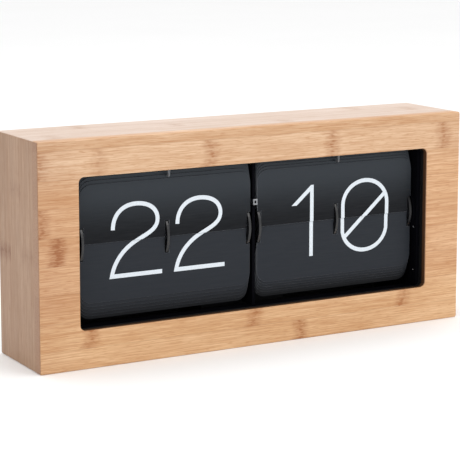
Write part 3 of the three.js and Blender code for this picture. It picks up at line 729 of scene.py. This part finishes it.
def print_half(name, digits, centre_x, part, surface_y, facing, body, flipped=False):
    """Prints the upper or lower half of a pair of digits on a leaf, as a thin layer of ink."""

    def build(bm):
        away = 1 if part == "lower" else -1
        pieces = numeral_pieces(digits, centre_x)
        for layer in sorted({number for number, _ in pieces}):
            layer_mesh = bmesh.new()
            for polygon in (points for number, points in pieces if number == layer):
                layer_mesh.faces.new([layer_mesh.verts.new((x, surface_y, z)) for x, z in polygon])
            bmesh.ops.remove_doubles(layer_mesh, verts=layer_mesh.verts, dist=1e-7)
            everything = layer_mesh.verts[:] + layer_mesh.edges[:] + layer_mesh.faces[:]
            bmesh.ops.bisect_plane(layer_mesh, geom=everything, plane_co=(0, 0, SPLIT_Z - away * PRINT_GAP),
                                   plane_no=(0, 0, away), clear_outer=True)
            bmesh.ops.recalc_face_normals(layer_mesh, faces=layer_mesh.faces)
            raised = bmesh.ops.extrude_face_region(layer_mesh, geom=layer_mesh.faces[:])
            for vertex in (v for v in raised["geom"] if isinstance(v, bmesh.types.BMVert)):
                vertex.co.y += facing * INK * (1 - layer * INK_STEP)
            copy = bpy.data.meshes.new(f"{name}_layer")
            layer_mesh.to_mesh(copy)
            layer_mesh.free()
            bm.from_mesh(copy)
            bpy.data.meshes.remove(copy)
        if flipped:
            for vertex in bm.verts:
                vertex.co.z = 2 * SPLIT_Z - vertex.co.z

    return object_from(name, build, "ink", body)


def build_leaves():
    for display, places in DRUM_PLACES.items():
        falling_low, falling_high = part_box(f"{display}_falling_leaf")
        centre_x = (falling_low.x + falling_high.x) / 2
        now, following = FACES[display]
        pitch = 2 * math.pi / places
        body = f"{display}_leaf"
        lower_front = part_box(f"{display}_lower_leaf_1")[0].y
        upper_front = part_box(f"{display}_upper_leaf_1")[0].y
        print_half(f"{display}_print_upper", now, centre_x, "upper", falling_low.y, -1, body)
        print_half(f"{display}_print_lower", now, centre_x, "lower", lower_front, -1, "case")
        print_half(f"{display}_print_next_upper", following, centre_x, "upper", upper_front, -1, "case")
        print_half(f"{display}_print_next_lower", following, centre_x, "lower", falling_high.y, 1, body,
                   flipped=True)
        for part, extra in (("upper", EXTRA_UPPER), ("lower", EXTRA_LOWER[display])):
            for step in range(1, extra + 1):
                add_leaf_behind(display, part, MODELLED_LEAVES[part] + step, pitch)


def add_leaf_behind(display, part, number, pitch):
    """Copies the last modelled leaf of a stack to place `number` round the drum."""
    last = MODELLED_LEAVES[part]
    source = NODES[f"{display}_{part}_leaf_{last}"]
    side = 1 if part == "upper" else -1
    first = 0 if part == "upper" else 1     # the lower stack's first leaf hangs at the split line
    rise = math.sin((number - first) * pitch) - math.sin((last - first) * pitch)
    leaf = bpy.data.objects.new(f"{display}_{part}_leaf_{number}", source.data.copy())
    shift = Vector((0, (number - last) * LEAF_LAYER, side * HINGE_RADIUS * rise))
    for vertex in leaf.data.vertices:
        vertex.co += shift
    bpy.context.scene.collection.objects.link(leaf)
    paint(leaf, "leaf")
    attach(leaf, "case")


# =========================================================================================
# Small fittings
# =========================================================================================


def disc_mesh(bm, centre, radius, rounding, segments, x0, x1):
    """A short cylinder along X with rounded rims, by turning its profile round the axis."""
    rim = []
    for step in range(4):
        angle = math.pi / 2 * step / 3
        rim.append((rounding * (1 - math.sin(angle)), radius - rounding * (1 - math.cos(angle))))
    near_rim = [(x0 + x, r) for x, r in reversed(rim)]
    far_rim = [(x1 - x, r) for x, r in rim]
    profile = [(x0, 0.0)] + near_rim + far_rim + [(x1, 0.0)]
    rings = []
    for x, r in profile:
        if r == 0.0:
            rings.append([bm.verts.new((x, centre[0], centre[1]))])
            continue
        ring = []
        for step in range(segments):
            angle = 2 * math.pi * step / segments
            ring.append(bm.verts.new((x, centre[0] + r * math.cos(angle), centre[1] + r * math.sin(angle))))
        rings.append(ring)
    for near, far in zip(rings, rings[1:]):
        for i in range(segments):
            j = (i + 1) % segments
            corners = [near[i % len(near)], near[j % len(near)], far[j % len(far)], far[i % len(far)]]
            unique = list(dict.fromkeys(corners))
            bm.faces.new(unique)


def build_plate_rivets():
    """Two small bright rivets near the front edge of the right end plate."""
    low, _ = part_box("right_plate")
    face_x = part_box("top_rail")[1].x
    for index, z in enumerate(RIVET_Z):

        def build(bm, z=z):
            disc_mesh(bm, (low.y + RIVET_INSET, z), x0=face_x - RIVET_PROUD, x1=face_x, **RIVET)

        object_from(f"plate_rivet_{index + 1}", build, "steel", "case")


def build_cover_details():
    """Raised vent ribs, a raised frame on three sides of the battery door, and an arrow beside the
    thumbwheel."""
    door_low, door_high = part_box("battery_door")
    cover_y = door_low.y + DOOR_THICKNESS
    base_y = cover_y - SINK

    def vents(bm):
        for side in (-1, 1):
            for row in range(VENT_ROWS):
                x = side * VENT_X
                z = VENT_LOW + row * VENT_PITCH
                low = (x - VENT_HALF_WIDTH, base_y, z)
                high = (x + VENT_HALF_WIDTH, cover_y + VENT_PROUD, z + VENT_HEIGHT)
                box_mesh(bm, low, high)

    object_from("cover_vents", vents, "cover", "case")

    def surround(bm):
        width = SURROUND_WIDTH
        x0, x1 = door_low.x - SURROUND_GAP, door_high.x + SURROUND_GAP
        z0, z1 = door_low.z - SURROUND_GAP, door_high.z + SURROUND_GAP
        bars = (
            ((x0 - width, z1), (x1 + width, z1 + width)),
            ((x0 - width, z0), (x0, z1)),
            ((x1, z0), (x1 + width, z1)),
        )
        for (ax, az), (bx, bz) in bars:
            box_mesh(bm, (ax, base_y, az), (bx, cover_y + SURROUND_PROUD, bz))

    object_from("door_surround", surround, "cover", "case")

    wheel_low, wheel_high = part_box("set_wheel")
    wheel_z = (wheel_low.z + wheel_high.z) / 2

    def arrow(bm):
        outline = [(ARROW_X + u * MM, wheel_z + v * MM) for u, v in ARROW_OUTLINE]
        prism(bm, outline, base_y, cover_y + ARROW_PROUD)

    object_from("set_arrow", arrow, "cover", "case")


def finish_nodes():
    """Gives every CAD node that stays its material and its edge rounding."""
    looks = {
        "leaf": [n for n in NODES if "_leaf" in n],
        "gloss_black": [n for n in NODES if "_disc_" in n],
        "black": ["left_plate", "centre_plate", "right_plate", "gearbox_plate",
                  "top_rail", "bottom_rail", "rear_rail"],
        "cover": ["rear_cover", "battery_door"],
        "grey": ["hour_catch", "minute_catch", "set_wheel"],
        "gear": ["minute_pinion", "minute_gear", "countershaft_wheel", "countershaft_pinion",
                 "hour_gear", "motor_pinion"],
        "steel": ["hour_axle", "minute_axle", "countershaft", "battery_plate"],
        "spring": ["centre_clip", "battery_spring"],
        "zinc": ["motor"] + [n for n in NODES if n.startswith("cover_screw")],
        "cell": ["battery_cell"],
        "board": ["circuit_board"],
    }
    for key, names in looks.items():
        for name in names:
            recolour(name, key)
    for name in NODES:
        for part, width in ROUNDING.items():
            if part in name and name not in SHARP_NODES:
                soften(name, width * MM)
                break


# =========================================================================================
# Stage
# =========================================================================================


def area_light(name, place, size, energy, colour):
    data = bpy.data.lights.new(name, "AREA")
    data.shape = "RECTANGLE"
    data.size, data.size_y = size
    data.energy = energy
    data.color = colour
    light = bpy.data.objects.new(name, data)
    light.location = place
    light.rotation_euler = (Vector(LIGHT_TARGET) - Vector(place)).to_track_quat("-Z", "Y").to_euler()
    bpy.context.scene.collection.objects.link(light)


def build_stage():
    scene = bpy.context.scene
    floor_mesh = bpy.data.meshes.new("floor")
    reach = FLOOR_REACH
    corners = [(-reach, -reach, 0), (reach, -reach, 0), (reach, reach, 0), (-reach, reach, 0)]
    floor_mesh.from_pydata(corners, [], [(0, 1, 2, 3)])
    floor = bpy.data.objects.new("floor", floor_mesh)
    scene.collection.objects.link(floor)
    s = Shader("studio_floor")
    tint = s.mix(s.noise(s.place(), scale=3.0), (0.93, 0.93, 0.93, 1), (0.96, 0.96, 0.96, 1))
    floor_mesh.materials.append(s.finish(Base_Color=tint, Roughness=0.8))

    world = bpy.data.worlds.new("studio")
    world.use_nodes = True
    background = world.node_tree.nodes["Background"]
    background.inputs["Color"].default_value = (1.0, 1.0, 1.0, 1)
    background.inputs["Strength"].default_value = 1.0
    scene.world = world
    scene.view_settings.view_transform = "Standard"

    area_light("key", **KEY_LIGHT)
    area_light("overhead", **OVERHEAD_LIGHT)


def build_camera():
    data = bpy.data.cameras.new("camera")
    data.lens = CAMERA_LENS
    data.sensor_width = CAMERA_SENSOR
    data.shift_y = CAMERA_SHIFT
    data.clip_start = 0.01
    camera = bpy.data.objects.new("camera", data)
    camera.location = CAMERA_PLACE
    turn, dip = math.radians(CAMERA_TURN), math.radians(CAMERA_DIP)
    aim = Vector((math.sin(turn) * math.cos(dip), math.cos(turn) * math.cos(dip), -math.sin(dip)))
    camera.rotation_euler = aim.to_track_quat("-Z", "Y").to_euler()
    bpy.context.scene.collection.objects.link(camera)
    bpy.context.scene.camera = camera


build_camera()
build_stage()
build_front_frame()
build_panels()
build_leaves()
build_plate_rivets()
build_cover_details()
finish_nodes()
